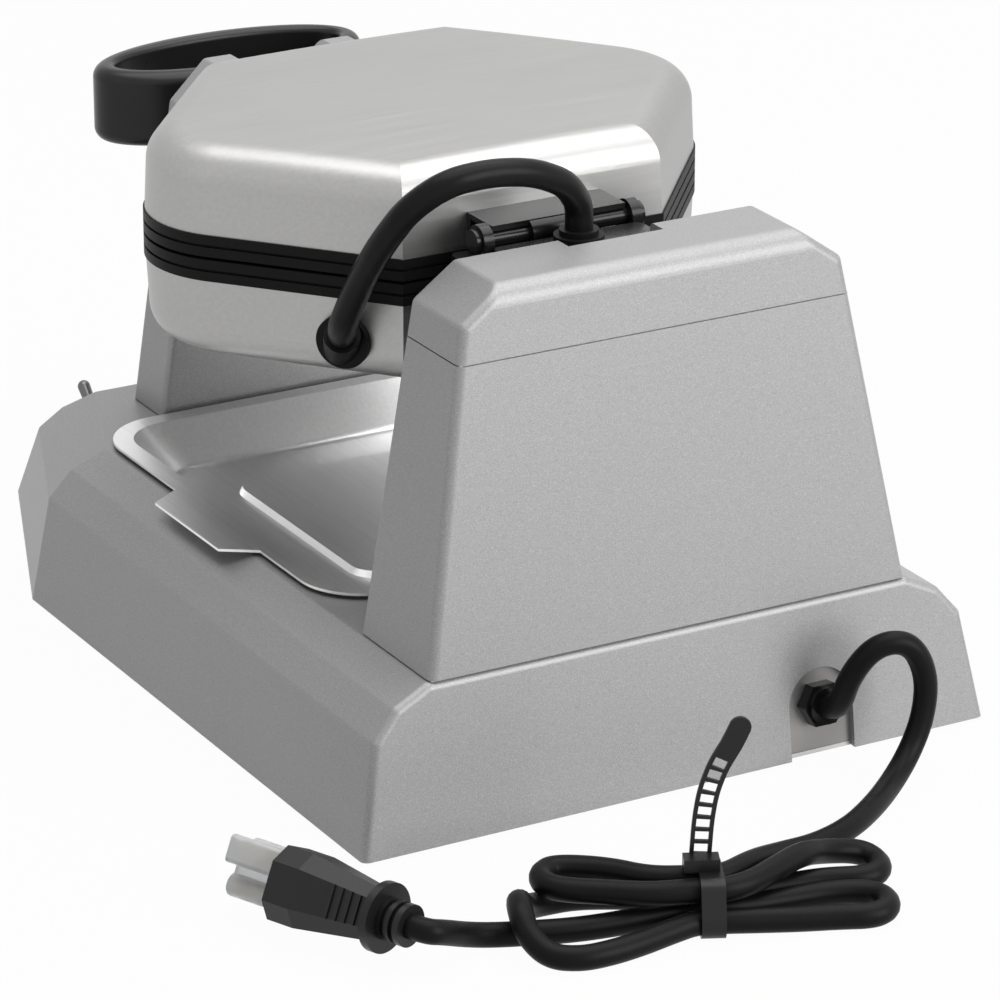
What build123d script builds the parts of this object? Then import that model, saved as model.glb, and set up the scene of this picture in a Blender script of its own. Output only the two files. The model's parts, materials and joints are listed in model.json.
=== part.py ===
from build123d import *
import os
from math import atan2, cos, hypot, pi, radians, sin, sqrt, tan

os.makedirs("parts", exist_ok=True)

# A manual flip waffle maker: a hexagonal iron turns on an axis carried by two towers on a low base.
# Origin on the table under the middle of the iron, +Z up, the axis along Y, the control panel at -Y.

# Base housing, its side profile as insets and heights above the skirt
foot_height = 2.0
foot_diameter = 18.0
foot_inset = 22.0
base_height = 57.5
base_half_width = 127.0
base_wall = 2.5
side_inset_low = 7.6
side_drop_low = 17.0
side_inset_mid = 16.5
side_drop_mid = 6.5
side_inset_top = 30.0
corner_cut_width = 43.0
corner_cut_length = 108.0
base_edge_radius = 3.0
rear_face_lean = 7.8
pan_thickness = 1.5
pan_clearance = 0.3
post_radius = 5.5
rear_post_inset = 42.0
rear_post_gap = 32.0
front_post_inset = 59.0
front_post_gap = 21.0
screw_radius = 1.9
screw_clearance = 0.15
screw_head_radius = 3.5
screw_head_height = 1.2
screw_length = 12.0

# Control panel, the slope at the front of the base
panel_setback = 14.3
panel_run = 54.3
panel_fit = 0.1
toggle_x = 68.5
toggle_rise = 43.8
lever_length = 14.0
lever_radius = 2.0
lever_tip_radius = 2.5
lever_ball_radius = 4.0
lever_ball_depth = 2.0
toggle_bushing_radius = 6.0
toggle_bushing_height = 2.2
toggle_bore_radius = 4.4
toggle_body_width = 15.0
toggle_body_length = 26.0
toggle_body_depth = 15.0
dial_x = 0.0
dial_rise = 28.0
dial_radius = 21.0
dial_skirt = 5.0
dial_height = 15.0
dial_grip_width = 8.0
dial_gap = 0.5
dial_hole_gap = 1.0
dial_shaft_radius = 3.0
dial_shaft_length = 10.0
dial_edge = 1.2
thermostat_radius = 16.0
thermostat_depth = 16.0
lamp_x = -50.0
lamp_spacing = 22.0
lamp_rise = 28.0
lamp_radius = 4.5
lamp_bezel_radius = 6.5
lamp_bezel_height = 1.2
lamp_dome = 2.6
lamp_depth = 14.0

# Iron, a hexagon with blunt points to the left and right
iron_half_width = 121.0
iron_corner_x = 53.0
iron_half_depth = 82.0
point_radius = 38.0
corner_radius = 26.0
parting_gap = 0.6
gasket_height = 8.0
gasket_lip = 0.6
gasket_width = 8.1
gasket_groove = 1.0
shell_height = 29.7
shell_draft = 2.86
shell_edge_radius = 13.0
shell_crown = 3.0
shell_wall = 1.2
swing_room = 7.87

# Cooking plates with round cells on a triangular pitch
plate_clearance = 0.3
plate_face_gap = 1.2
plate_border_gap = 0.3
plate_border = 4.0
plate_thickness = 13.8
cell_pitch = 33.0
cell_radius = 12.5
cell_rows = 5
heater_radius = 3.25
heater_gap = 0.3
heater_half_width = 62.0
heater_half_depth = 42.0
heater_corner = 20.0
heater_mouth = 14.0

# Tray between the towers, pressed from one sheet, and its well in the base
tray_sheet = 1.0
tray_lift = 1.5
tray_half_width = 95.0
tray_front = 92.0
tray_rear = 107.0
tray_corner = 25.0
tray_rim = 7.6
tray_opening_corner = 18.0
tray_wall_run = 13.5
tray_floor_corner = 12.0
tray_fold = 5.0
plateau_rise = 2.3
plateau_side = 14.5
plateau_end = 24.0
plateau_corner = 12.0
plateau_taper = 30.0
tab_reach = 12.5
tab_front = 18.0
tab_rear = 34.0
tab_slant = 8.5
well_half_width = 90.0
well_front = 88.0
well_rear = 103.0
well_corner = 20.0
well_depth = 14.1

# Rear tower with its cap
rear_tower_gap = 48.0
rear_tower_depth = 50.7
rear_tower_half_width = 96.6
rear_tower_slope = 0.1724
rear_tower_lean = 0.119
tower_wall = 3.0
rear_cap_height = 24.8
rear_shoulder_height = 13.1
rear_cap_half_width = 59.5
rear_edge_radius = 3.5
rear_top_radius = 8.0
notch_half_width = 19.0
notch_depth = 9.0
notch_height = 5.0
notch_floor = 1.5
seam_gap = 0.5
seam_depth = 0.8
wire_hole_half_width = 30.0
wire_hole_depth = 24.0

# Front tower with its saddle cap
front_tower_gap = 12.4
front_tower_depth = 25.5
front_tower_half_width = 64.0
front_tower_slope = 0.152
front_seam_drop = 21.2
front_cap_height = 26.4
front_shoulder_height = 11.8
front_cap_half_width = 31.0
front_edge_radius = 2.3
saddle_radius = 17.0
saddle_flare = 3.0

# Axis, cradle, necks and handle
neck_radius = 14.0
running_clearance = 0.08
liner_fit = 0.1
liner_overhang = 1.5
liner_leg = 15.5
neck_gap = 0.4
hub_gap = 0.8
hub_radius = 17.0
hub_tip_radius = 13.5
hub_length = 10.7
bracket_half_width = 30.0
bracket_height = 33.6
bracket_thickness = 5.5
handle_half_width = 57.0
handle_half_depth = 27.2
handle_wall = 9.0
handle_height = 30.0
handle_outer_round = 5.0
handle_inner_round = 2.4

# Hinge behind the iron
hinge_gap = 15.5
hinge_rise = 16.4
hinge_pin_radius = 3.0
hinge_clearance = 0.06
ear_inner = 28.0
ear_thickness = 4.0
ear_radius = 6.0
pin_head_radius = 4.5
pin_head_height = 2.0
barrel_radius = 5.4
barrel_half_length = 12.0
lug_half_width = 27.0
lug_gap = 0.4
lug_thickness = 2.0
lug_drop = 6.1
pivot_half_width = 36.0
pivot_front_gap = 2.5
pivot_depth = 38.0
pivot_drop = 28.2
pivot_rise = 8.8
pivot_step_rise = 15.8
pivot_step_half_width = 30.0
pivot_step_depth = 18.0
pivot_foot_height = 19.0
pivot_wall = 4.0
pivot_edge_radius = 3.0
shaft_radius = 13.0
shaft_bore = 10.0
shaft_length = 35.5
shaft_flange_radius = 18.0
shaft_flange = 3.0
bush_radius = 17.0
bush_flange_radius = 20.0
bush_flange = 1.4
bush_back_radius = 18.0
ring_gap = 0.5
ring_thickness = 2.0
ring_radius = 17.0
bearing_half_width = 22.0
bearing_gap = 18.0
bearing_half_height = 20.0
bearing_wall = 2.0

# Sleeve that carries the leads from the pivot box to the lower half of the iron
conduit_radius = 5.0
grommet_radius = 9.0
grommet_height = 3.0
collar_radius = 7.0
collar_height = 2.0
grommet_shank = 4.0
lead_hole_radius = 5.0
shell_grommet_radius = 10.0
shell_grommet_drop = 24.3
shell_grommet_offset = 22.6
boot_radius = 6.6
boot_length = 9.0
boot_tilt = 45.0
boot_run = 12.0
boot_rise = 2.0

# Mains inlet in the rear face
slot_x = -58.3
slot_half_width = 13.25
slot_rise = 19.0
inlet_shank_radius = 6.0
inlet_shank_length = 6.0
inlet_plate_thickness = 2.0
inlet_plate_margin = 4.0
nut_radius = 8.6
nut_length = 5.2
nut_sides = 6
nut_collar_radius = 6.8
nut_collar = 2.0
block_length = 34.0
block_width = 20.0
block_height = 15.0
block_gap = 30.0
block_holes = 3
block_hole_radius = 2.5
block_hole_depth = 6.0

# Cord with its plug, bundled behind the base
cord_radius = 4.3
exit_run = 6.9
hank_x = 44.0
hank_y = 277.0
hank_turn = -25.47
lane_top = 14.7
lane_low = 5.5
lane_far = -5.4
lane_near = 14.2
lane_top_far = -0.4
lane_top_near = 9.4
lane_tail = 4.6
lane_half = 5.0
bight_corners = 4
tie_half_width = 4.1
tie_thickness = 0.9
tie_clearance = 0.25
tie_side_clearance = 0.65
tie_corner = 4.5
tie_head_x = 3.0
tie_head_y = 3.5
tie_head_length = 12.0
tie_head_width = 6.5
tie_head_height = 4.6
ladder_width = 7.4
ladder_thickness = 1.3
ladder_windows = 8
window_length = 3.3
window_width = 4.6
window_start = 0.06
window_pitch = 0.092
plug_x = 152.3
plug_y = 248.5
plug_height = 14.4
plug_turn = -66.9
plug_roll = 27.0
plug_length = 39.5
plug_front_length = 11.0
plug_front_width = 24.0
plug_front_height = 25.6
plug_back_width = 16.0
plug_back_height = 17.6
plug_bevel = 6.0
plug_flange_radius = 12.1
plug_flange = 3.0
relief_radius = 7.3
relief_length = 9.5
relief_grooves = 2
relief_groove = 1.8
relief_wall = 1.6
grip_count = 4
grip_pitch = 3.4
grip_width = 1.6
grip_proud = 0.8
grip_share = 0.55
blade_length = 17.0
blade_width = 6.4
blade_thickness = 1.5
blade_half_gap = 6.35
ground_radius = 2.4
ground_drop = 5.9
ground_length = 20.0
blade_lift = 5.9
sleeve_length = 21.4
sleeve_wall = 1.3
sleeve_clearance = 0.35
sleeve_end = 1.0
sleeve_web = 3.0

# Places worked out from the sizes above
base_top = foot_height + base_height
tower_front = iron_half_depth + rear_tower_gap
tower_rear = tower_front + rear_tower_depth
skirt_rear = tower_rear + rear_face_lean
saddle_rear = -(iron_half_depth + front_tower_gap)
saddle_front = saddle_rear - front_tower_depth
panel_top = saddle_front - panel_setback
panel_foot = panel_top - panel_run
ceiling = base_top - base_wall
pan_top = foot_height + pan_thickness
well_floor = base_top - well_depth
rim_top = base_top + tray_lift + tray_sheet
plateau_top = well_floor + tray_sheet + plateau_rise
point_half_angle = atan2(iron_half_depth, iron_half_width - iron_corner_x)
iron_reach = iron_half_width - point_radius * (1 / sin(point_half_angle) - 1)
axis_height = plateau_top + iron_reach + swing_room
rear_top = axis_height + rear_cap_height
front_seam = axis_height - front_seam_drop
front_top = axis_height + front_cap_height
shell_foot = axis_height + parting_gap + gasket_height
axis_mirror = Plane.XY.offset(axis_height)
liner_front = saddle_front - liner_overhang
hub_rear = liner_front - neck_gap - hub_gap
handle_centre = hub_rear - hub_length - handle_half_depth
hinge_y = iron_half_depth + hinge_gap
hinge_z = axis_height + hinge_rise
pivot_front = iron_half_depth + pivot_front_gap
pivot_rear = pivot_front + pivot_depth


# A block between two heights, cut down to faces given as a point and an outward normal
def faceted_block(half_width, rear, front, bottom, top, faces):
    with BuildPart() as block:
        with BuildSketch(Plane.XY.offset(bottom)):
            with Locations((0, (rear + front) / 2)):
                Rectangle(2 * half_width, rear - front)
        extrude(amount=top - bottom)
        for point, normal in faces:
            split(bisect_by=Plane(origin=point, z_dir=normal), keep=Keep.BOTTOM)
    return block.part


# The sloping faces of the base, moved inwards by the inset
def base_faces(inset):
    profile = [
        (0, 0),
        (side_inset_low, base_height - side_drop_low),
        (side_inset_mid, base_height - side_drop_mid),
        (side_inset_top, base_height),
    ]
    cut = hypot(corner_cut_width, corner_cut_length)
    headings = [(1, 0), (corner_cut_length / cut, -corner_cut_width / cut)]
    cut_start = panel_foot + corner_cut_length
    faces = []
    for (inset_a, height_a), (inset_b, height_b) in zip(profile, profile[1:]):
        slope = Vector(height_b - height_a, 0, inset_b - inset_a).normalized()
        for across, along in headings:
            for side in (1, -1):
                normal = Vector(side * across * slope.X, along * slope.X, slope.Z)
                point = Vector(
                    side * (base_half_width - across * inset_a),
                    cut_start - along * inset_a,
                    foot_height + height_a,
                )
                faces.append((point - normal * inset, normal))
    rear = Vector(0, base_height, rear_face_lean).normalized()
    faces.append((Vector(0, skirt_rear, foot_height) - rear * inset, rear))
    panel = Vector(0, -base_height, panel_run).normalized()
    faces.append((Vector(0, panel_foot, foot_height) - panel * inset, panel))
    return faces


def base_block(inset, bottom, top):
    return faceted_block(base_half_width, skirt_rear, panel_foot, bottom, top, base_faces(inset))


# The sloping faces of a tower: two sides, two shoulders and, where it leans, the back
def tower_faces(inset, foot_half, slope, shoulder, cap_half, top, lean, rear):
    side = Vector(1, 0, slope).normalized()
    shoulder_half = foot_half - slope * (shoulder - base_top)
    bevel = Vector(top - shoulder, 0, shoulder_half - cap_half).normalized()
    faces = []
    for mirrored in (1, -1):
        for point, normal in (
            (Vector(foot_half, 0, base_top), side),
            (Vector(cap_half, 0, top), bevel),
        ):
            moved = point - normal * inset
            faces.append((Vector(mirrored * moved.X, 0, moved.Z), Vector(mirrored * normal.X, 0, normal.Z)))
    back = Vector(0, 1, lean).normalized()
    faces.append((Vector(0, rear, base_top) - back * inset, back))
    return faces


def rear_tower_block(inset, bottom, top):
    shoulder = axis_height + rear_shoulder_height
    faces = tower_faces(
        inset,
        rear_tower_half_width,
        rear_tower_slope,
        shoulder,
        rear_cap_half_width,
        rear_top,
        rear_tower_lean,
        tower_rear,
    )
    return faceted_block(rear_tower_half_width, tower_rear, tower_front + inset, bottom, top, faces)


def front_tower_block(inset, bottom, top):
    shoulder = axis_height + front_shoulder_height
    faces = tower_faces(
        inset,
        front_tower_half_width,
        front_tower_slope,
        shoulder,
        front_cap_half_width,
        front_top,
        0,
        saddle_rear,
    )
    return faceted_block(front_tower_half_width, saddle_rear, saddle_front + inset, bottom, top, faces)


# A plane on the control panel, x along the base and y up the slope
def panel_plane(x, rise, lift):
    point = Vector(x, panel_foot + rise * panel_run / base_height, foot_height + rise)
    normal = Vector(0, -base_height, panel_run).normalized()
    return Plane(origin=point + normal * lift, x_dir=(1, 0, 0), z_dir=normal)


# A plane across the axis of the iron at one place along it, its normal towards the panel
def axis_plane(y):
    return Plane(origin=(0, y, axis_height), x_dir=(1, 0, 0), z_dir=(0, -1, 0))


def save(builder, name):
    builder.part.label = name
    export_step(builder.part, "parts/" + name + ".step")


# Base
post_places = [(side * (base_half_width - rear_post_inset), tower_front + rear_post_gap) for side in (1, -1)]
post_places += [(side * (base_half_width - front_post_inset), saddle_rear - front_post_gap) for side in (1, -1)]

base_outer = base_block(0, foot_height, base_top)
base_inner = base_block(base_wall, foot_height, ceiling)

with BuildPart() as base_housing:
    add(base_outer)
    fillet(base_housing.edges().filter_by(lambda edge: edge.center().Z > foot_height + 0.01), base_edge_radius)
    add(base_inner, mode=Mode.SUBTRACT)
    with BuildSketch(Plane.XY.offset(well_floor - base_wall)):
        with Locations((0, (well_rear - well_front) / 2)):
            RectangleRounded(
                2 * (well_half_width + base_wall),
                well_front + well_rear + 2 * base_wall,
                well_corner + base_wall,
            )
    extrude(amount=ceiling - well_floor + base_wall + base_wall / 2)
    with BuildSketch(Plane.XY.offset(pan_top)):
        with Locations(*post_places):
            Circle(post_radius)
    extrude(amount=ceiling - pan_top + base_wall / 2)
    with BuildSketch(Plane.XY.offset(well_floor)):
        with Locations((0, (well_rear - well_front) / 2)):
            RectangleRounded(2 * well_half_width, well_front + well_rear, well_corner)
    extrude(amount=well_depth, mode=Mode.SUBTRACT)
    with BuildSketch(Plane.XY.offset(pan_top)):
        with Locations(*post_places):
            Circle(screw_radius + screw_clearance)
    extrude(amount=screw_length, mode=Mode.SUBTRACT)
    with BuildSketch(Plane.XY.offset(ceiling)):
        with Locations((0, tower_front + rear_tower_depth / 2)):
            Rectangle(2 * wire_hole_half_width, wire_hole_depth)
    extrude(amount=base_wall, mode=Mode.SUBTRACT)
    with BuildSketch(Plane(origin=(slot_x, skirt_rear, foot_height), x_dir=(1, 0, 0), z_dir=(0, -1, 0))):
        with Locations((0, slot_rise)):
            Circle(slot_half_width)
        with Locations((0, slot_rise / 2)):
            Rectangle(2 * slot_half_width, slot_rise)
    extrude(amount=rear_face_lean + 2 * base_wall, mode=Mode.SUBTRACT)
    with BuildSketch(panel_plane(toggle_x, toggle_rise, 0)):
        Circle(toggle_bushing_radius + panel_fit)
    extrude(amount=-2 * base_wall, mode=Mode.SUBTRACT)
    with BuildSketch(panel_plane(dial_x, dial_rise, 0)):
        Circle(dial_shaft_radius + dial_hole_gap)
    extrude(amount=-2 * base_wall, mode=Mode.SUBTRACT)
    with BuildSketch(panel_plane(lamp_x, lamp_rise, 0)):
        Circle(lamp_radius + panel_fit)
    extrude(amount=-2 * base_wall, mode=Mode.SUBTRACT)
    with BuildSketch(panel_plane(lamp_x - lamp_spacing, lamp_rise, 0)):
        Circle(lamp_radius + panel_fit)
    extrude(amount=-2 * base_wall, mode=Mode.SUBTRACT)
save(base_housing, "base_housing")

with BuildPart() as base_pan:
    add(base_block(base_wall + pan_clearance, foot_height, pan_top))
    with BuildSketch(Plane.XY.offset(foot_height)):
        with Locations(*post_places):
            Circle(screw_radius + screw_clearance)
    extrude(amount=pan_thickness, mode=Mode.SUBTRACT)
save(base_pan, "base_pan")

with BuildPart() as pan_screws:
    with BuildSketch(Plane.XY.offset(foot_height)):
        with Locations(*post_places):
            Circle(screw_head_radius)
    extrude(amount=-screw_head_height)
    with BuildSketch(Plane.XY.offset(foot_height)):
        with Locations(*post_places):
            Circle(screw_radius)
    extrude(amount=screw_length)
save(pan_screws, "pan_screws")

foot_x = base_half_width - foot_inset
front_foot_x = foot_x - corner_cut_width + foot_inset / 2
foot_places = [(side * foot_x, skirt_rear - foot_inset) for side in (1, -1)]
foot_places += [(side * front_foot_x, panel_foot + foot_inset) for side in (1, -1)]
for number, place in enumerate(foot_places, start=1):
    with BuildPart() as foot:
        with BuildSketch():
            with Locations(place):
                Circle(foot_diameter / 2)
        extrude(amount=foot_height)
    save(foot, f"foot_{number}")

# Rear tower, its cap and what it carries
tower_outer = rear_tower_block(0, base_top, rear_top)
with BuildPart() as tower_form:
    add(tower_outer)
    top_back = tower_form.edges().filter_by(Axis.X).group_by(Axis.Z)[-1].sort_by(Axis.Y)[-1]
    fillet(top_back, rear_top_radius)
    raised = tower_form.edges().filter_by(lambda edge: edge.center().Z > base_top + 0.01)
    fillet(raised.filter_by(lambda edge: edge.center().Y > tower_front + 0.01), rear_edge_radius)
    front_edges = tower_form.edges().filter_by(lambda edge: edge.center().Y < tower_front + 0.01)
    fillet(front_edges.filter_by(lambda edge: edge.center().Z > base_top + 0.01), front_edge_radius)
tower_inner = rear_tower_block(tower_wall, base_top, rear_top - tower_wall)
foot_band = rear_tower_block(seam_depth, base_top, base_top + seam_gap)
cap_band = rear_tower_block(seam_depth, axis_height, axis_height + seam_gap)

with BuildPart() as rear_tower:
    add(tower_form.part)
    split(bisect_by=Plane.XY.offset(axis_height), keep=Keep.BOTTOM)
    split(bisect_by=Plane.XY.offset(base_top + seam_gap), keep=Keep.TOP)
    add(foot_band)
    add(tower_inner, mode=Mode.SUBTRACT)
    with BuildSketch(axis_plane(tower_front)):
        Circle(bush_radius)
    extrude(amount=-tower_wall, mode=Mode.SUBTRACT)
save(rear_tower, "rear_tower")

with BuildPart() as rear_tower_cap:
    add(tower_form.part)
    split(bisect_by=Plane.XY.offset(axis_height + seam_gap), keep=Keep.TOP)
    add(cap_band)
    add(tower_inner, mode=Mode.SUBTRACT)
    with BuildSketch(Plane.XY.offset(rear_top - notch_height - notch_floor)):
        with Locations((0, tower_front + notch_depth / 2 + tower_wall)):
            Rectangle(2 * (notch_half_width + tower_wall), notch_depth)
    extrude(amount=notch_height + notch_floor - front_edge_radius)
    with BuildSketch(Plane.XY.offset(rear_top - notch_height)):
        with Locations((0, tower_front)):
            Rectangle(2 * notch_half_width, 2 * notch_depth)
    extrude(amount=notch_height, mode=Mode.SUBTRACT)
    with BuildSketch(axis_plane(tower_front)):
        Circle(bush_radius)
    extrude(amount=-tower_wall, mode=Mode.SUBTRACT)
save(rear_tower_cap, "rear_tower_cap")

with BuildPart() as rear_bush:
    with BuildSketch(axis_plane(tower_front - bush_flange)):
        Circle(bush_flange_radius)
    extrude(amount=-bush_flange)
    with BuildSketch(axis_plane(tower_front)):
        Circle(bush_radius - liner_fit)
    extrude(amount=-tower_wall)
    with BuildSketch(axis_plane(tower_front + tower_wall)):
        Circle(bush_back_radius)
    extrude(amount=-bush_flange)
    with BuildSketch(axis_plane(tower_front - bush_flange)):
        Circle(shaft_radius + running_clearance)
    extrude(amount=-(tower_wall + 2 * bush_flange), mode=Mode.SUBTRACT)
save(rear_bush, "rear_bush")

bearing_front = tower_front + bearing_gap
with BuildPart() as bearing_block:
    with BuildSketch(axis_plane(bearing_front)):
        Rectangle(2 * bearing_half_width, 2 * bearing_half_height)
    extrude(amount=-rear_tower_depth)
    add(rear_tower_block(tower_wall, base_top, rear_top - tower_wall), mode=Mode.INTERSECT)
    with BuildSketch(axis_plane(bearing_front)):
        Circle(shaft_radius + running_clearance)
    extrude(amount=-(shaft_length + pivot_rear - bearing_front + bearing_wall), mode=Mode.SUBTRACT)
save(bearing_block, "bearing_block")

# Front tower, its saddle cap and the cradle liner
front_outer = front_tower_block(0, base_top, front_top)
with BuildPart() as saddle_form:
    add(front_outer)
    fillet(saddle_form.edges().filter_by(lambda edge: edge.center().Z > base_top + 0.01), front_edge_radius)
front_inner = front_tower_block(tower_wall, base_top, front_top - tower_wall)

with BuildPart() as saddle_core:
    with BuildSketch(axis_plane(saddle_rear)):
        Circle(saddle_radius + tower_wall)
        with Locations((0, front_cap_height / 2)):
            Rectangle(2 * (saddle_radius + tower_wall), front_cap_height)
    extrude(amount=front_tower_depth)

with BuildPart() as front_tower:
    add(saddle_form.part)
    split(bisect_by=Plane.XY.offset(front_seam), keep=Keep.BOTTOM)
    split(bisect_by=Plane.XY.offset(base_top + seam_gap), keep=Keep.TOP)
    add(front_tower_block(seam_depth, base_top, base_top + seam_gap))
    add(front_inner, mode=Mode.SUBTRACT)
save(front_tower, "front_tower")

with BuildPart() as cap_hollow:
    add(front_tower_block(tower_wall, front_seam, front_top - tower_wall))
    add(saddle_core.part, mode=Mode.SUBTRACT)

with BuildPart() as front_tower_cap:
    add(saddle_form.part)
    split(bisect_by=Plane.XY.offset(front_seam + seam_gap), keep=Keep.TOP)
    add(front_tower_block(seam_depth, front_seam, front_seam + seam_gap))
    add(cap_hollow.part, mode=Mode.SUBTRACT)
    with BuildSketch(axis_plane(saddle_rear)):
        Circle(saddle_radius)
        with BuildLine():
            Polyline(
                (-saddle_radius, 0),
                (-saddle_radius, front_cap_height - saddle_flare),
                (-saddle_radius - saddle_flare, front_cap_height),
                (saddle_radius + saddle_flare, front_cap_height),
                (saddle_radius, front_cap_height - saddle_flare),
                (saddle_radius, 0),
                close=True,
            )
        make_face()
    extrude(amount=front_tower_depth, mode=Mode.SUBTRACT)
save(front_tower_cap, "front_tower_cap")

with BuildPart() as cradle_liner:
    with BuildSketch(axis_plane(saddle_rear + liner_overhang)):
        Circle(saddle_radius - liner_fit)
        with Locations((0, liner_leg / 2)):
            Rectangle(2 * (saddle_radius - liner_fit), liner_leg)
        with BuildSketch(mode=Mode.SUBTRACT):
            Circle(neck_radius + running_clearance)
            with Locations((0, hub_radius)):
                Rectangle(2 * (neck_radius + running_clearance), 2 * hub_radius)
        with BuildSketch(mode=Mode.SUBTRACT):
            with Locations((0, liner_leg + hub_radius)):
                Rectangle(4 * hub_radius, 2 * hub_radius)
    extrude(amount=front_tower_depth + 2 * liner_overhang)
save(cradle_liner, "cradle_liner")


# Outline of the iron, seen from above, grown or shrunk by one amount
def iron_outline(growth):
    with BuildSketch() as outline:
        with BuildLine():
            Polyline(
                (iron_half_width, 0),
                (iron_corner_x, iron_half_depth),
                (-iron_corner_x, iron_half_depth),
                (-iron_half_width, 0),
                (-iron_corner_x, -iron_half_depth),
                (iron_corner_x, -iron_half_depth),
                close=True,
            )
        make_face()
        points = outline.vertices().filter_by(lambda corner: abs(corner.Y) < 1)
        corners = outline.vertices().filter_by(lambda corner: abs(corner.Y) > 1)
        fillet(points, point_radius)
        fillet(corners, corner_radius)
        if growth:
            offset(amount=growth)
    return outline.sketch


# Solid inside one half of the iron's shell, its wall drawn in by the inset
def iron_dome(inset):
    outline = iron_outline(-inset)
    height = shell_height + shell_crown - inset
    crown_radius = (iron_half_width**2 + shell_crown**2) / (2 * shell_crown)
    with BuildPart() as dome:
        with BuildSketch(Plane.XY.offset(shell_foot)):
            add(outline)
        extrude(amount=height + shell_crown, taper=shell_draft)
        with Locations((0, 0, shell_foot + height - crown_radius)):
            Sphere(crown_radius, mode=Mode.INTERSECT)
        fillet(dome.faces().sort_by(Axis.Z)[-1].edges(), shell_edge_radius - inset)
    return dome.part


# Iron, both halves made as the upper one
shell_form = iron_dome(0)
shell_hollow = iron_dome(shell_wall)
gasket_outline = iron_outline(gasket_lip)
groove_outline = iron_outline(gasket_lip - gasket_groove)
gasket_opening = iron_outline(gasket_lip - gasket_width)
plate_outline = iron_outline(gasket_lip - gasket_width - plate_clearance)
cell_outline = iron_outline(gasket_lip - gasket_width - plate_clearance - plate_border)

with BuildPart() as gasket_form:
    with BuildSketch(Plane.XY.offset(axis_height + parting_gap)):
        add(gasket_outline)
    extrude(amount=gasket_height)

with BuildPart() as upper_gasket:
    add(gasket_form.part)
    with BuildSketch(Plane.XY.offset(axis_height + parting_gap)):
        add(gasket_opening)
    extrude(amount=gasket_height, mode=Mode.SUBTRACT)
    with BuildSketch(Plane.XY.offset(axis_height + parting_gap + (gasket_height - gasket_groove) / 2)):
        add(gasket_outline)
        add(groove_outline, mode=Mode.SUBTRACT)
    extrude(amount=gasket_groove, mode=Mode.SUBTRACT)
save(upper_gasket, "upper_gasket")

cell_places = []
for row in range(cell_rows):
    step = row - cell_rows // 2
    count = cell_rows - abs(step)
    for column in range(count):
        cell_places.append(((column - (count - 1) / 2) * cell_pitch, step * cell_pitch * sqrt(3) / 2))

with BuildPart() as upper_plate:
    with BuildSketch(Plane.XY.offset(axis_height + plate_face_gap)):
        add(plate_outline)
    extrude(amount=plate_thickness)
    with BuildSketch(Plane.XY.offset(axis_height + plate_border_gap)):
        add(plate_outline)
        add(cell_outline, mode=Mode.SUBTRACT)
    extrude(amount=plate_face_gap - plate_border_gap)
    with Locations(*[(x, y, axis_height) for x, y in cell_places]):
        Sphere(cell_radius, mode=Mode.SUBTRACT)
save(upper_plate, "upper_plate")

heater_height = axis_height + plate_face_gap + plate_thickness + heater_gap + heater_radius
with BuildPart() as upper_heater:
    with BuildLine(Plane.XY.offset(heater_height)) as heater_path:
        FilletPolyline(
            (heater_mouth, heater_half_depth),
            (heater_half_width, heater_half_depth),
            (heater_half_width, -heater_half_depth),
            (-heater_half_width, -heater_half_depth),
            (-heater_half_width, heater_half_depth),
            (-heater_mouth, heater_half_depth),
            radius=heater_corner,
        )
    with BuildSketch(heater_path.line ^ 0):
        Circle(heater_radius)
    sweep()
save(upper_heater, "upper_heater")

with BuildPart() as upper_shell:
    add(shell_form)
    add(shell_hollow, mode=Mode.SUBTRACT)
save(upper_shell, "upper_shell")

# Plane on the left rear face of the lower shell, where the leads go in
face_run = hypot(iron_half_width - iron_corner_x, iron_half_depth)
face_along = Vector(iron_corner_x - iron_half_width, iron_half_depth, 0) / face_run
face_out = Vector(iron_half_depth, iron_half_width - iron_corner_x, 0) / face_run
draft = tan(radians(shell_draft))
drop_below_shell = shell_grommet_drop - parting_gap - gasket_height
grommet_point = (
    Vector(iron_corner_x, iron_half_depth, axis_height - shell_grommet_drop)
    - face_along * shell_grommet_offset
    - face_out * drop_below_shell * draft
)
grommet_out = (face_out - Vector(0, 0, draft)).normalized()
grommet_plane = Plane(origin=grommet_point, x_dir=face_along, z_dir=grommet_out)
boot_up = (Vector(0, 0, 1) - grommet_out * grommet_out.Z).normalized()
boot_lean = (face_along + boot_up * boot_rise).normalized()
boot_heading = grommet_out * cos(radians(boot_tilt)) + boot_lean * sin(radians(boot_tilt))
boot_start = grommet_point + grommet_out * grommet_height
boot_end = boot_start + boot_heading * boot_length

with BuildPart() as lower_shell:
    mirror(upper_shell.part, about=axis_mirror)
    with BuildSketch(grommet_plane.offset(grommet_height)):
        Circle(lead_hole_radius)
    extrude(amount=-2 * grommet_height - shell_wall, mode=Mode.SUBTRACT)
save(lower_shell, "lower_shell")

with BuildPart() as lower_gasket:
    mirror(upper_gasket.part, about=axis_mirror)
save(lower_gasket, "lower_gasket")

with BuildPart() as lower_plate:
    mirror(upper_plate.part, about=axis_mirror)
save(lower_plate, "lower_plate")

with BuildPart() as lower_heater:
    mirror(upper_heater.part, about=axis_mirror)
save(lower_heater, "lower_heater")

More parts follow.
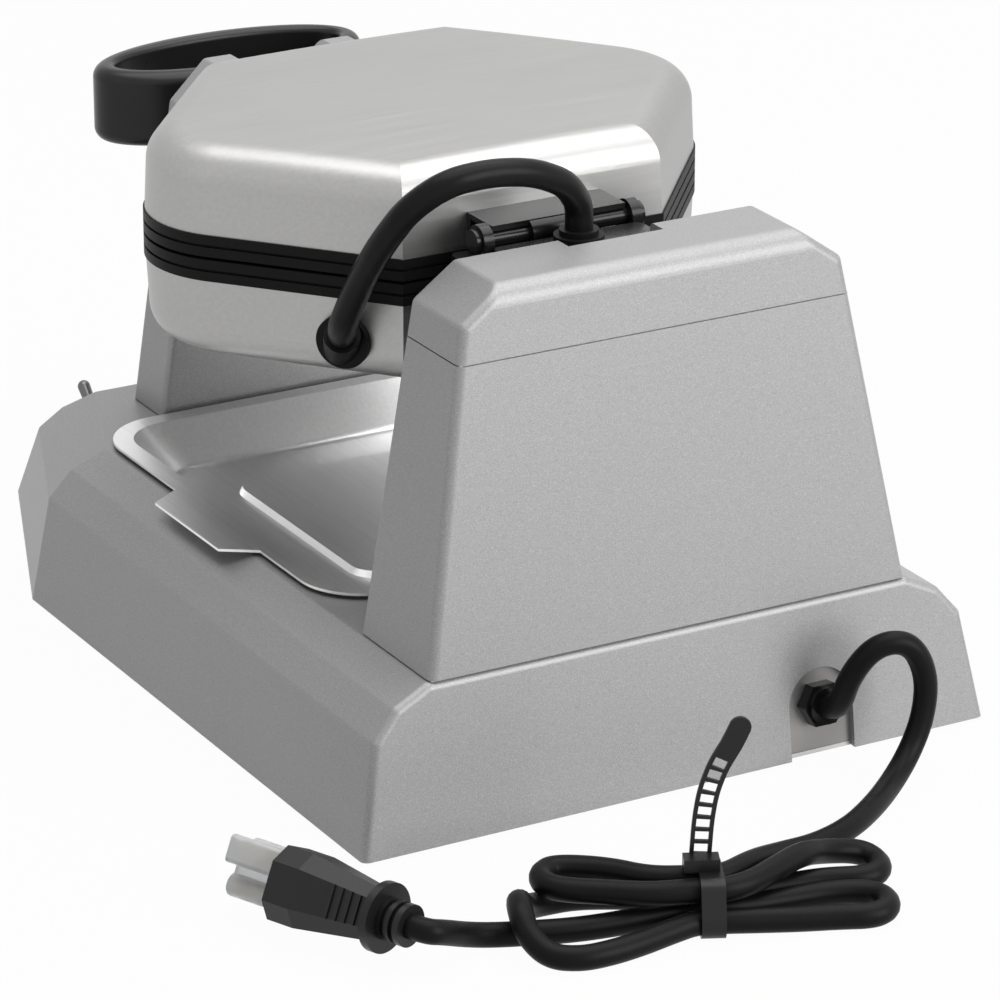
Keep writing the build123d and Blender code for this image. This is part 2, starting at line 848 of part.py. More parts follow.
# Necks at the front, two half cylinders on brackets
bracket_front = -(iron_half_depth + bracket_thickness)
with BuildPart() as upper_neck:
    with BuildSketch(axis_plane(bracket_front)):
        with Locations((0, parting_gap + bracket_height / 2)):
            Rectangle(2 * bracket_half_width, bracket_height)
    extrude(amount=-(bracket_thickness + shell_wall))
    bracket_edges = upper_neck.edges().filter_by(Axis.Y).group_by(Axis.Z)[-1]
    fillet(bracket_edges, neck_radius / 2)
    with BuildSketch(axis_plane(bracket_front)):
        Circle(neck_radius)
        with Locations((0, -neck_radius + parting_gap)):
            Rectangle(4 * neck_radius, 2 * neck_radius, mode=Mode.SUBTRACT)
    extrude(amount=bracket_front - hub_rear)
    add(shell_form, mode=Mode.SUBTRACT)
    add(gasket_form.part, mode=Mode.SUBTRACT)
save(upper_neck, "upper_neck")

with BuildPart() as lower_neck:
    mirror(upper_neck.part, about=axis_mirror)
    split(bisect_by=axis_plane(hub_rear + hub_gap), keep=Keep.BOTTOM)
save(lower_neck, "lower_neck")

# Handle, an oval loop on a hub in front of the front tower
with BuildPart() as handle_ring:
    with BuildSketch(Plane.XY.offset(axis_height - handle_height / 2)):
        with Locations((0, handle_centre)):
            Ellipse(handle_half_width, handle_half_depth)
            Ellipse(handle_half_width - handle_wall, handle_half_depth - handle_wall, mode=Mode.SUBTRACT)
    extrude(amount=handle_height)
    ring_edges = handle_ring.edges().filter_by(GeomType.ELLIPSE).sort_by(SortBy.LENGTH)
    fillet(ring_edges[:2], handle_inner_round)
    ring_edges = handle_ring.edges().filter_by(GeomType.ELLIPSE).sort_by(SortBy.LENGTH)
    fillet(ring_edges[-2:], handle_outer_round)
    with BuildSketch(axis_plane(hub_rear)):
        Circle(hub_radius)
    with BuildSketch(axis_plane(hub_rear - hub_length - handle_wall / 2)):
        Circle(hub_tip_radius)
    loft()
save(handle_ring, "handle_ring")

# Hinge lug on the lid
lug_top = hinge_z + hinge_pin_radius + lug_gap + lug_thickness
with BuildPart() as lid_hinge:
    with BuildSketch(Plane.XY.offset(hinge_z - lug_drop)):
        with Locations((0, iron_half_depth - shell_wall / 2)):
            Rectangle(2 * lug_half_width, 2 * lug_thickness + shell_wall)
    extrude(amount=lug_top - hinge_z + lug_drop)
    with BuildSketch(Plane.XY.offset(lug_top - lug_thickness)):
        with Locations((0, (iron_half_depth + hinge_y + lug_thickness) / 2)):
            Rectangle(2 * lug_half_width, hinge_y - iron_half_depth + lug_thickness)
    extrude(amount=lug_thickness)
    with BuildSketch(Plane.YZ.offset(-barrel_half_length)):
        with Locations((hinge_y, hinge_z)):
            Circle(barrel_radius)
        with Locations(((hinge_y + iron_half_depth) / 2, hinge_z + barrel_radius / 2)):
            Rectangle(hinge_y - iron_half_depth, barrel_radius)
    extrude(amount=2 * barrel_half_length)
    with BuildSketch(Plane.YZ.offset(-barrel_half_length)):
        with Locations((hinge_y, hinge_z)):
            Circle(hinge_pin_radius + hinge_clearance)
    extrude(amount=2 * barrel_half_length, mode=Mode.SUBTRACT)
    add(shell_form, mode=Mode.SUBTRACT)
    add(gasket_form.part, mode=Mode.SUBTRACT)
save(lid_hinge, "lid_hinge")

ear_outer = ear_inner + ear_thickness
with BuildPart() as hinge_pin:
    with BuildSketch(Plane.YZ.offset(-ear_outer)):
        with Locations((hinge_y, hinge_z)):
            Circle(hinge_pin_radius)
    extrude(amount=2 * ear_outer)
    for side in (1, -1):
        with BuildSketch(Plane.YZ.offset(side * ear_outer)):
            with Locations((hinge_y, hinge_z)):
                Circle(pin_head_radius)
        extrude(amount=side * pin_head_height)
save(hinge_pin, "hinge_pin")

# Pivot box behind the lower half, which carries the hinge and turns in the rear bush
box_middle = (pivot_front + pivot_rear) / 2
box_top = axis_height + pivot_rise
step_top = axis_height + pivot_step_rise
step_front = pivot_rear - pivot_step_depth
grommet_y = (step_front + pivot_rear) / 2
with BuildPart() as lower_form:
    mirror(shell_form, about=axis_mirror)
    mirror(gasket_form.part, about=axis_mirror)

with BuildPart() as pivot_box:
    with BuildSketch(Plane.XY.offset(axis_height - pivot_drop)):
        with Locations((0, box_middle)):
            RectangleRounded(2 * pivot_half_width, pivot_depth, pivot_edge_radius)
    extrude(amount=pivot_drop + pivot_rise)
    with BuildSketch(Plane.XY.offset(axis_height)):
        with Locations((0, grommet_y)):
            RectangleRounded(2 * pivot_step_half_width, pivot_step_depth, pivot_edge_radius)
    extrude(amount=pivot_step_rise)
    with BuildSketch(Plane.XY.offset(axis_height - pivot_drop)):
        with Locations((0, pivot_front)):
            Rectangle(2 * pivot_half_width, 4 * pivot_front_gap)
    extrude(amount=pivot_foot_height)
    for side in (1, -1):
        with BuildSketch(Plane.YZ.offset(side * ear_inner)):
            with Locations((hinge_y, hinge_z)):
                Circle(ear_radius)
            with Locations((hinge_y, (hinge_z + box_top - pivot_rise) / 2)):
                Rectangle(2 * ear_radius, hinge_z - box_top + pivot_rise)
            with Locations((hinge_y, hinge_z)):
                Circle(hinge_pin_radius, mode=Mode.SUBTRACT)
        extrude(amount=side * ear_thickness)
    with BuildSketch(Plane.XY.offset(axis_height - pivot_drop + pivot_wall)):
        with Locations((0, box_middle)):
            Rectangle(2 * (pivot_half_width - pivot_wall), pivot_depth - 2 * pivot_wall)
    extrude(amount=pivot_drop + pivot_rise - 2 * pivot_wall, mode=Mode.SUBTRACT)
    with BuildSketch(axis_plane(pivot_rear)):
        Circle(shaft_bore)
    extrude(amount=2 * pivot_wall, mode=Mode.SUBTRACT)
    with BuildSketch(Plane.XY.offset(axis_height)):
        with Locations((0, grommet_y)):
            Circle(lead_hole_radius)
    extrude(amount=pivot_step_rise, mode=Mode.SUBTRACT)
    add(lower_form.part, mode=Mode.SUBTRACT)
save(pivot_box, "pivot_box")

with BuildPart() as pivot_shaft:
    with BuildSketch(axis_plane(pivot_rear)):
        Circle(shaft_flange_radius)
    extrude(amount=-shaft_flange)
    with BuildSketch(axis_plane(pivot_rear)):
        Circle(shaft_radius)
    extrude(amount=-shaft_length)
    with BuildSketch(axis_plane(pivot_rear)):
        Circle(shaft_bore)
    extrude(amount=-shaft_length, mode=Mode.SUBTRACT)
save(pivot_shaft, "pivot_shaft")

with BuildPart() as shaft_ring:
    with BuildSketch(axis_plane(tower_front + tower_wall + bush_flange + ring_gap)):
        Circle(ring_radius)
        Circle(shaft_radius + panel_fit, mode=Mode.SUBTRACT)
    extrude(amount=-ring_thickness)
save(shaft_ring, "shaft_ring")

# Lead sleeve between its two grommets
with BuildPart() as box_grommet:
    with BuildSketch(Plane.XY.offset(step_top)):
        with Locations((0, grommet_y)):
            Circle(grommet_radius)
    extrude(amount=grommet_height)
    with BuildSketch(Plane.XY.offset(step_top + grommet_height)):
        with Locations((0, grommet_y)):
            Circle(collar_radius)
    extrude(amount=collar_height)
    with BuildSketch(Plane.XY.offset(step_top)):
        with Locations((0, grommet_y)):
            Circle(lead_hole_radius - panel_fit)
    extrude(amount=-grommet_shank)
save(box_grommet, "box_grommet")

with BuildPart() as shell_grommet:
    with BuildSketch(Plane(origin=boot_start - boot_heading * boot_radius, z_dir=boot_heading)):
        Circle(boot_radius)
    extrude(amount=boot_radius + boot_length)
    split(bisect_by=grommet_plane, keep=Keep.TOP)
    with BuildSketch(grommet_plane):
        Circle(shell_grommet_radius)
    extrude(amount=grommet_height)
    with BuildSketch(grommet_plane):
        Circle(lead_hole_radius - panel_fit)
    extrude(amount=-shell_wall)
save(shell_grommet, "shell_grommet")


# Radii for a bent tube: each arc as large as the two runs beside its point allow
def bend_radii(points):
    spots = [Vector(*point) for point in points]
    radii = []
    for before, here, after in zip(spots, spots[1:], spots[2:]):
        turn = radians((here - before).get_angle(after - here))
        shorter = min((here - before).length, (after - here).length)
        radii.append(0.45 * shorter / tan(turn / 2))
    return radii


def report_tube(name, path, radii, radius, volume):
    ratio = volume / (pi * radius**2 * path.length)
    print(f"{name}: length {path.length:.1f}, least radius {min(radii):.1f}, volume ratio {ratio:.4f}")


conduit_start = (0, grommet_y, step_top + grommet_height + collar_height)
conduit_points = [
    conduit_start,
    (0, grommet_y, conduit_start[2] + 9.0),
    (8.5, 119.0, 206.5),
    (23.5, 122.3, 213.8),
    (40.0, 122.8, 216.4),
    (57.0, 122.0, 215.2),
    (68.8, 116.0, 206.0),
    (73.8, 105.0, 190.5),
    (75.6, 92.0, 173.0),
    tuple(boot_end + boot_heading * boot_run),
    tuple(boot_end),
]
conduit_radii = bend_radii(conduit_points)
with BuildPart() as conduit:
    with BuildLine():
        conduit_path = FilletPolyline(*conduit_points, radius=conduit_radii)
    with BuildSketch(Plane.XY.offset(conduit_start[2])):
        with Locations((0, grommet_y)):
            Circle(conduit_radius)
    sweep()
report_tube("conduit", conduit_path, conduit_radii, conduit_radius, conduit.part.volume)
save(conduit, "conduit")

# Tray, a pressed sheet with a raised middle, a flat rim and a grip tab on its left
tray_middle = (tray_rear - tray_front) / 2
tray_length = tray_rear + tray_front
tray_foot_inset = tray_rim + tray_wall_run
plateau_half = tray_half_width - tray_foot_inset - plateau_side
plateau_length = tray_length - 2 * (tray_foot_inset + plateau_end)


def tray_section(inset, corner):
    with BuildSketch() as section:
        RectangleRounded(2 * (tray_half_width - inset), tray_length - 2 * inset, corner)
    return section.sketch


def tray_bowl(growth, floor):
    opening = tray_section(tray_rim - growth, tray_opening_corner + growth)
    bottom = tray_section(tray_foot_inset - growth, tray_floor_corner + growth)
    with BuildPart() as bowl:
        with BuildSketch(Plane(origin=(0, tray_middle, rim_top))):
            add(opening)
        with BuildSketch(Plane(origin=(0, tray_middle, floor))):
            add(bottom)
        loft()
        fillet(bowl.faces().sort_by(Axis.Z)[0].edges(), tray_fold)
    return bowl.part


with BuildPart() as tray:
    with BuildSketch(Plane(origin=(0, tray_middle, rim_top - tray_sheet))):
        add(tray_section(0, tray_corner))
        with Locations((0, -tray_middle)):
            with BuildLine():
                Polyline(
                    (tray_half_width - tray_rim / 2, -tab_front - tab_slant),
                    (tray_half_width, -tab_front - tab_slant),
                    (tray_half_width + tab_reach, -tab_front),
                    (tray_half_width + tab_reach, tab_rear),
                    (tray_half_width, tab_rear + tab_slant),
                    (tray_half_width - tray_rim / 2, tab_rear + tab_slant),
                    close=True,
                )
            make_face()
    extrude(amount=tray_sheet)
    add(tray_bowl(tray_sheet, well_floor))
    add(tray_bowl(0, well_floor + tray_sheet), mode=Mode.SUBTRACT)
    with BuildSketch(Plane(origin=(0, tray_middle, well_floor + tray_sheet))):
        RectangleRounded(2 * plateau_half, plateau_length, plateau_corner)
    extrude(amount=plateau_rise, taper=plateau_taper)
    with BuildSketch(Plane(origin=(0, tray_middle, well_floor))):
        RectangleRounded(
            2 * (plateau_half - tray_sheet), plateau_length - 2 * tray_sheet, plateau_corner - tray_sheet
        )
    extrude(amount=plateau_rise, taper=plateau_taper, mode=Mode.SUBTRACT)
save(tray, "tray")


# Mains inlet: a plate behind the slot, its nut and the terminal block
slot_face = Plane(
    origin=(slot_x, skirt_rear - rear_face_lean * slot_rise / base_height, foot_height + slot_rise),
    x_dir=(-1, 0, 0),
    z_dir=(0, base_height, rear_face_lean),
)
plate_face = slot_face.offset(-base_wall)
with BuildPart() as inlet_plate:
    with BuildSketch(plate_face):
        Circle(slot_half_width + inlet_plate_margin)
        with Locations((0, -slot_rise / 2)):
            Rectangle(2 * (slot_half_width + inlet_plate_margin), slot_rise)
        Circle(inlet_shank_radius + panel_fit, mode=Mode.SUBTRACT)
    extrude(amount=-inlet_plate_thickness)
    split(bisect_by=Plane.XY.offset(pan_top + pan_clearance), keep=Keep.TOP)
save(inlet_plate, "inlet_plate")

with BuildPart() as strain_relief:
    with BuildSketch(plate_face):
        RegularPolygon(nut_radius, nut_sides)
    extrude(amount=nut_length)
    with BuildSketch(plate_face.offset(nut_length)):
        Circle(nut_collar_radius)
    extrude(amount=nut_collar)
    with BuildSketch(plate_face):
        Circle(inlet_shank_radius)
    extrude(amount=-inlet_shank_length)
save(strain_relief, "strain_relief")

with BuildPart() as terminal_block:
    with BuildSketch(Plane.XY.offset(pan_top)):
        with Locations((slot_x, skirt_rear - block_gap - block_width / 2)):
            Rectangle(block_length, block_width)
    extrude(amount=block_height)
    with BuildSketch(Plane.XY.offset(pan_top + block_height)):
        with Locations((slot_x, skirt_rear - block_gap - block_width / 2)):
            with GridLocations(block_length / block_holes, 0, block_holes, 1):
                Circle(block_hole_radius)
    extrude(amount=-block_hole_depth, mode=Mode.SUBTRACT)
save(terminal_block, "terminal_block")

# Toggle switch: body with its bushing, lever with its ball
with BuildPart() as toggle_body:
    with BuildSketch(panel_plane(toggle_x, toggle_rise, -base_wall)):
        Rectangle(toggle_body_width, toggle_body_length)
    extrude(amount=-toggle_body_depth)
    with BuildSketch(panel_plane(toggle_x, toggle_rise, -base_wall)):
        Circle(toggle_bushing_radius)
    extrude(amount=base_wall + toggle_bushing_height)
    with BuildSketch(panel_plane(toggle_x, toggle_rise, toggle_bushing_height)):
        Circle(toggle_bore_radius)
    extrude(amount=-(toggle_bushing_height + lever_ball_depth + toggle_bore_radius), mode=Mode.SUBTRACT)
save(toggle_body, "toggle_body")

lever_centre = panel_plane(toggle_x, toggle_rise, -lever_ball_depth)
with BuildPart() as toggle_lever:
    with BuildSketch(lever_centre):
        Circle(lever_radius)
    with BuildSketch(panel_plane(toggle_x, toggle_rise, lever_length - lever_tip_radius)):
        Circle(lever_tip_radius)
    loft()
    with Locations(panel_plane(toggle_x, toggle_rise, lever_length - lever_tip_radius).origin):
        Sphere(lever_tip_radius)
    with Locations(lever_centre.origin):
        Sphere(lever_ball_radius)
save(toggle_lever, "toggle_lever")

# Thermostat with its shaft, and the dial that turns on it
with BuildPart() as thermostat_body:
    with BuildSketch(panel_plane(dial_x, dial_rise, -base_wall)):
        Circle(thermostat_radius)
    extrude(amount=-thermostat_depth)
    with BuildSketch(panel_plane(dial_x, dial_rise, -base_wall)):
        Circle(dial_shaft_radius)
    extrude(amount=base_wall + dial_shaft_length)
save(thermostat_body, "thermostat_body")

with BuildPart() as dial:
    with BuildSketch(panel_plane(dial_x, dial_rise, dial_gap)):
        Circle(dial_radius)
    extrude(amount=dial_skirt)
    with BuildSketch(panel_plane(dial_x, dial_rise, dial_gap)):
        RectangleRounded(dial_grip_width, 2 * (dial_radius - dial_edge), dial_edge)
    extrude(amount=dial_height)
    with BuildSketch(panel_plane(dial_x, dial_rise, dial_gap)):
        Circle(dial_shaft_radius + hinge_clearance)
    extrude(amount=dial_shaft_length, mode=Mode.SUBTRACT)
save(dial, "dial")

# Indicator lamps
for number in (1, 2):
    lamp_place = lamp_x - (number - 1) * lamp_spacing
    with BuildPart() as lamp:
        with BuildSketch(panel_plane(lamp_place, lamp_rise, 0)):
            Circle(lamp_bezel_radius)
        extrude(amount=lamp_bezel_height)
        with BuildSketch(panel_plane(lamp_place, lamp_rise, lamp_bezel_height)):
            Circle(lamp_radius)
        extrude(amount=lamp_dome, taper=plateau_taper)
        with BuildSketch(panel_plane(lamp_place, lamp_rise, 0)):
            Circle(lamp_radius)
        extrude(amount=-lamp_depth)
    save(lamp, f"lamp_{number}")


# Mains cord: the lead out of the base, the bundle under its tie and the tail into the plug
def hank_spot(along, across, height):
    turn = radians(hank_turn)
    x = hank_x + along * cos(turn) - across * sin(turn)
    y = hank_y + along * sin(turn) + across * cos(turn)
    return (x, y, height)


# The turn at the end of a loop: corners of a polygon round its centre, to the left or right
def bight(centre, radius, heights, side, order):
    points = []
    for corner, height in enumerate(heights):
        angle = pi * (corner + 0.5) / bight_corners - pi / 2
        reach = radius / cos(pi / 2 / bight_corners)
        along = centre[0] + side * reach * cos(angle)
        across = centre[1] + order * reach * sin(angle)
        points.append((along, across, height))
    return points


def cord_tube(name, points):
    radii = bend_radii(points)
    start = Vector(*points[0])
    with BuildPart() as tube:
        with BuildLine():
            path = FilletPolyline(*points, radius=radii)
        with BuildSketch(Plane(origin=start, z_dir=Vector(*points[1]) - start)):
            Circle(cord_radius)
        sweep()
    report_tube(name, path, radii, cord_radius, tube.part.volume)
    save(tube, name)
    return path


def halfway(first, second):
    return tuple((a + b) / 2 for a, b in zip(first, second))


on_table = cord_radius
cord_start = plate_face.origin + plate_face.z_dir * (nut_length + nut_collar)
lead_points = [
    tuple(cord_start),
    tuple(cord_start + plate_face.z_dir * exit_run),
    (-58.8, 203.0, 38.0),
    (-66.0, 208.5, 50.5),
    (-78.0, 212.0, 50.5),
    (-84.5, 213.5, 37.0),
    (-82.5, 215.0, 22.0),
    (-75.5, 217.0, 10.0),
    (-63.5, 224.5, on_table),
    (-47.0, 238.0, on_table),
    (-30.0, 249.0, on_table),
]
hank_points = [
    (-42, -44, 4.6),
    (-28, -29, 8.9),
    (-16, -13, 14.0),
    (-lane_half, lane_top_far, lane_top),
    (lane_half, lane_top_far, lane_top),
    (20, -1, 14.6),
    (33, -9, 14.6),
    *bight((46.5, -3), 9.0, (14.8, 14.8, 14.8, 14.8), 1, 1),
    (33, 9, 14.7),
    (20, 11.5, lane_top),
    (lane_half, lane_top_near, lane_top),
    (-lane_half, lane_top_near, lane_top),
    (-14, 4.5, 14.7),
    (-24, -7, 14.6),
    (-33, -18, 13.9),
    (-42, -30, 9.0),
    *bight((-51.7, -26.9), 9.2, (5.8, on_table, on_table, on_table), -1, 1),
    (-42, -17.5, on_table),
    (-30, -14.4, on_table),
    (-14, -8.2, 4.8),
    (-lane_half, lane_far, lane_low),
    (lane_half, lane_far, lane_low),
    (18, -6.5, 4.8),
    (30, -9, on_table),
    (44, -9.5, on_table),
    (54, -6, on_table),
    (60, -0.5, 5.8),
    (63, 6, 10.0),
    (64.2, 12, 14.2),
    (64.2, 21.5, 14.2),
    (62.5, 28, 9.5),
    (56, 34.5, 4.6),
    (46, 36.5, on_table),
    (36, 33, on_table),
    (25, 26.5, on_table),
    (14, 19.3, 4.9),
    (lane_half, lane_near, lane_low),
    (-lane_half, lane_near, lane_low),
    (-18, 13, 4.8),
    (-30, 12, on_table),
    (-42, 11.2, on_table),
    *bight((-50.5, 1.8), 9.4, (on_table, on_table, on_table, on_table), -1, -1),
    (-42, -7.4, on_table),
    (-28, -3.3, on_table),
    (-14, 2, 4.8),
    (-lane_half, lane_tail, lane_low),
    (lane_half, lane_tail, lane_low),
    (18, 7.5, 4.8),
    (32, 11.5, on_table),
    (46, 15, on_table),
]
hank_route = [hank_spot(*point) for point in hank_points]

# The plug lies rolled on one edge, its blades along the plane's normal
plug_forward = Vector(cos(radians(plug_turn)), sin(radians(plug_turn)), 0)
plug_across = Vector(-plug_forward.Y, plug_forward.X, 0)
plug_side = plug_across * cos(radians(plug_roll)) + Vector(0, 0, 1) * sin(radians(plug_roll))
plug_plane = Plane(origin=(plug_x, plug_y, plug_height), x_dir=plug_side, z_dir=plug_forward)
cord_end = plug_plane.origin - plug_forward * (plug_flange + relief_length)

tail_points = [
    hank_spot(60, 16.3, on_table),
    hank_spot(73, 17, on_table),
    hank_spot(82, 20.5, 6.5),
    hank_spot(90, 29, 11.8),
    tuple(cord_end - plug_forward * exit_run),
    tuple(cord_end),
]
lead_end = halfway(lead_points[-1], hank_route[0])
tail_start = halfway(hank_route[-1], tail_points[0])
cord_tube("cord_lead", lead_points + [lead_end])
hank_path = cord_tube("cord_hank", [lead_end] + hank_route + [tail_start])
cord_tube("cord_tail", [tail_start] + tail_points)

# Least space between two parts of the bundle, measured on points along its middle line
trace_steps = 600
trace = [hank_path.position_at(step / trace_steps) for step in range(trace_steps + 1)]
spacing = hank_path.length / trace_steps
apart = int(4 * cord_radius / spacing)
least = min(
    (trace[near] - trace[far]).length
    for near in range(trace_steps + 1)
    for far in range(near + apart, trace_steps + 1)
)
print(f"bundle: least self gap {least - 2 * cord_radius:.2f}")

# Tie round the bundle with its head and the ladder end standing up
hank_centre = Vector(*hank_spot(0, 0, 0))
tie_plane = Plane(
    origin=hank_centre,
    x_dir=Vector(*hank_spot(0, 1, 0)) - hank_centre,
    z_dir=Vector(*hank_spot(1, 0, 0)) - hank_centre,
)
tie_top = lane_top + cord_radius + tie_clearance + tie_thickness / 2


def tie_outline(growth):
    reach = cord_radius + tie_clearance + growth
    side = cord_radius + tie_side_clearance + growth
    with BuildSketch() as outline:
        with BuildLine():
            Polyline(
                (lane_far - side, lane_low - reach),
                (lane_near + side, lane_low - reach),
                (lane_near + side, lane_low + cord_radius / 2),
                (lane_top_near + reach, lane_top + reach),
                (lane_top_far - reach, lane_top + reach),
                (lane_far - side, lane_low + cord_radius / 2),
                close=True,
            )
        make_face()
        fillet(outline.vertices(), tie_corner + growth)
    return outline.sketch


ladder_plane = Plane(origin=hank_centre, x_dir=tie_plane.z_dir, z_dir=-tie_plane.x_dir)
ladder_points = [(3.0, 23.0), (2.2, 36.2), (0.6, 46.5), (-2.7, 55.9), (-6.9, 63.1), (-9.6, 69.2)]
with BuildPart() as cord_tie:
    with BuildSketch(tie_plane.offset(-tie_half_width)):
        add(tie_outline(tie_thickness))
        add(tie_outline(0), mode=Mode.SUBTRACT)
    extrude(amount=2 * tie_half_width)
    with BuildSketch(Plane(origin=hank_spot(tie_head_x, tie_head_y, tie_top), x_dir=tie_plane.z_dir)):
        Rectangle(tie_head_length, tie_head_width)
    extrude(amount=tie_head_height)
    with BuildLine(ladder_plane):
        ladder = FilletPolyline(*ladder_points, radius=bend_radii(ladder_points))
    with BuildSketch(Plane(origin=ladder @ 0, x_dir=tie_plane.z_dir, z_dir=ladder % 0)):
        Rectangle(ladder_width, ladder_thickness)
    sweep()
    for window in range(ladder_windows):
        place = window_start + window * window_pitch
        with BuildSketch(Plane(origin=ladder @ place, x_dir=ladder % place, z_dir=ladder_plane.z_dir)):
            Rectangle(window_length, window_width)
        extrude(amount=ladder_thickness, both=True, mode=Mode.SUBTRACT)
    with BuildSketch(Plane(origin=ladder @ 1, x_dir=tie_plane.z_dir, z_dir=ladder_plane.z_dir)):
        Circle(ladder_width / 2)
    extrude(amount=ladder_thickness / 2, both=True)
save(cord_tie, "cord_tie")


# Plug body with its flange, ribbed relief and side grips
def bevelled(width, height, bevel):
    with BuildSketch() as section:
        Rectangle(width, height)
        chamfer(section.vertices(), bevel)
    return section.sketch


with BuildPart() as plug_body:
    with BuildSketch(plug_plane):
        add(bevelled(plug_back_width, plug_back_height, plug_bevel * plug_back_width / plug_front_width))
    with BuildSketch(plug_plane.offset(plug_length - plug_front_length)):
        add(bevelled(plug_front_width, plug_front_height, plug_bevel))
    loft()
    with BuildSketch(plug_plane.offset(plug_length - plug_front_length)):
        add(bevelled(plug_front_width, plug_front_height, plug_bevel))
    extrude(amount=plug_front_length)
    for grip in range(grip_count):
        place = (grip + 1) * grip_pitch
        share = place / (plug_length - plug_front_length)
        width = plug_back_width + (plug_front_width - plug_back_width) * share
        height = plug_back_height + (plug_front_height - plug_back_height) * share
        with BuildSketch(plug_plane.offset(place)):
            Rectangle(width + 2 * grip_proud, height * grip_share)
        extrude(amount=grip_width)
    with BuildSketch(plug_plane):
        Circle(plug_flange_radius)
    extrude(amount=-plug_flange)
    with BuildSketch(plug_plane.offset(-plug_flange)):
        Circle(relief_radius)
    extrude(amount=-relief_length)
    for groove in range(relief_grooves):
        with BuildSketch(plug_plane.offset(-plug_flange - relief_groove * (2 * groove + 1))):
            Circle(relief_radius)
            Circle(cord_radius + relief_wall, mode=Mode.SUBTRACT)
        extrude(amount=-relief_groove, mode=Mode.SUBTRACT)
save(plug_body, "plug_body")

plug_front = plug_plane.offset(plug_length)
blade_places = [(side * blade_half_gap, blade_lift) for side in (1, -1)]
with BuildPart() as plug_blades:
    with BuildSketch(plug_front):
        with Locations(*blade_places):
            Rectangle(blade_thickness, blade_width)
    extrude(amount=blade_length)
    with BuildSketch(plug_front):
        with Locations((0, -ground_drop)):
            Circle(ground_radius)
    extrude(amount=ground_length)
save(plug_blades, "plug_blades")

sleeve_growth = sleeve_clearance + sleeve_wall
with BuildPart() as plug_sleeve:
    with BuildSketch(plug_front):
        with Locations(*blade_places):
            RectangleRounded(
                blade_thickness + 2 * sleeve_growth, blade_width + 2 * sleeve_growth, sleeve_growth
            )
        with Locations((0, blade_lift)):
            Rectangle(2 * blade_half_gap, sleeve_web)
        with Locations((0, (blade_lift - ground_drop) / 2)):
            Rectangle(sleeve_web, blade_lift + ground_drop)
        with Locations((0, -ground_drop)):
            Circle(ground_radius + sleeve_growth)
    extrude(amount=sleeve_length)
    with BuildSketch(plug_front):
        with Locations(*blade_places):
            Rectangle(blade_thickness + 2 * sleeve_clearance, blade_width + 2 * sleeve_clearance)
        with Locations((0, -ground_drop)):
            Circle(ground_radius + sleeve_clearance)
    extrude(amount=sleeve_length - sleeve_end, mode=Mode.SUBTRACT)
save(plug_sleeve, "plug_sleeve")
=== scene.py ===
import bpy
import json
from math import cos, pi, radians, sin
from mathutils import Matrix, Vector


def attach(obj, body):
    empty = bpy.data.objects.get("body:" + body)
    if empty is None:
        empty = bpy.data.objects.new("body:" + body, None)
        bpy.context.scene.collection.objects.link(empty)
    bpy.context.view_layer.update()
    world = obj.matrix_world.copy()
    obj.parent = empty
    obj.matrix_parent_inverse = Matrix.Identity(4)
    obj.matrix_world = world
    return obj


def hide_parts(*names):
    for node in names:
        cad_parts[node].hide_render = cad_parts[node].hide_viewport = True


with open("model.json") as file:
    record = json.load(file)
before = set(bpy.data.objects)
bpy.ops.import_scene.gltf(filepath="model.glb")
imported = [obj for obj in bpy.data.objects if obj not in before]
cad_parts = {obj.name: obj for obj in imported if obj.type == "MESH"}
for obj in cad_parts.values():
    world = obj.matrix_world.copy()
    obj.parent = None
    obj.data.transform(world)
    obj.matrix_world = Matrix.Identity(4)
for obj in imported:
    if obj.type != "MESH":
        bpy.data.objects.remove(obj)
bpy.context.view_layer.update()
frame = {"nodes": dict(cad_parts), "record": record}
nodes = frame["nodes"]
print("frame loaded:", len(nodes), "nodes")

# Camera, at the place solved from the edges of the base and the rear tower
cameraSet = {
    "place": (0.8795, 1.6213, 0.7743),
    "target": (0.0082, 0.0718, 0.0721),
    "lens": 189.5,
    "sensor": 36.0,
    "clip": 30,
}


def addObject(name, data):
    made = bpy.data.objects.new(name, data)
    bpy.context.scene.collection.objects.link(made)
    return made


def aimed(place, target):
    return (Vector(target) - Vector(place)).to_track_quat("-Z", "Y").to_euler()


def makeCamera():
    data = bpy.data.cameras.new("camera")
    data.lens = cameraSet["lens"]
    data.sensor_width = cameraSet["sensor"]
    data.clip_end = cameraSet["clip"]
    camera = addObject("camera", data)
    camera.location = cameraSet["place"]
    camera.rotation_euler = aimed(cameraSet["place"], cameraSet["target"])
    bpy.context.scene.camera = camera


makeCamera()
print("camera placed")


# Mains cord, one NURBS line from the inlet nut through its bundle to the plug, in millimetres
cordSet = {
    "radius": 4.3,
    "length": 0.917,  # in metres
    "hankPlace": (44.0, 277.0),
    "hankTurn": -25.47,
    "corners": 4,
    "top": 14.7,
    "low": 5.5,
    "floor": 4.3,
    "sides": 6,
    "steps": 10,
    "order": 3,
}
mmPerMetre = 1000


def hankSpot(along, across, height):
    turn = radians(cordSet["hankTurn"])
    x = cordSet["hankPlace"][0] + along * cos(turn) - across * sin(turn)
    y = cordSet["hankPlace"][1] + along * sin(turn) + across * cos(turn)
    return (x, y, height)


def bight(centre, radius, heights, side, order):
    points = []
    for corner, height in enumerate(heights):
        angle = pi * (corner + 0.5) / cordSet["corners"] - pi / 2
        reach = radius / cos(pi / 2 / cordSet["corners"])
        points.append((centre[0] + side * reach * cos(angle), centre[1] + order * reach * sin(angle), height))
    return points


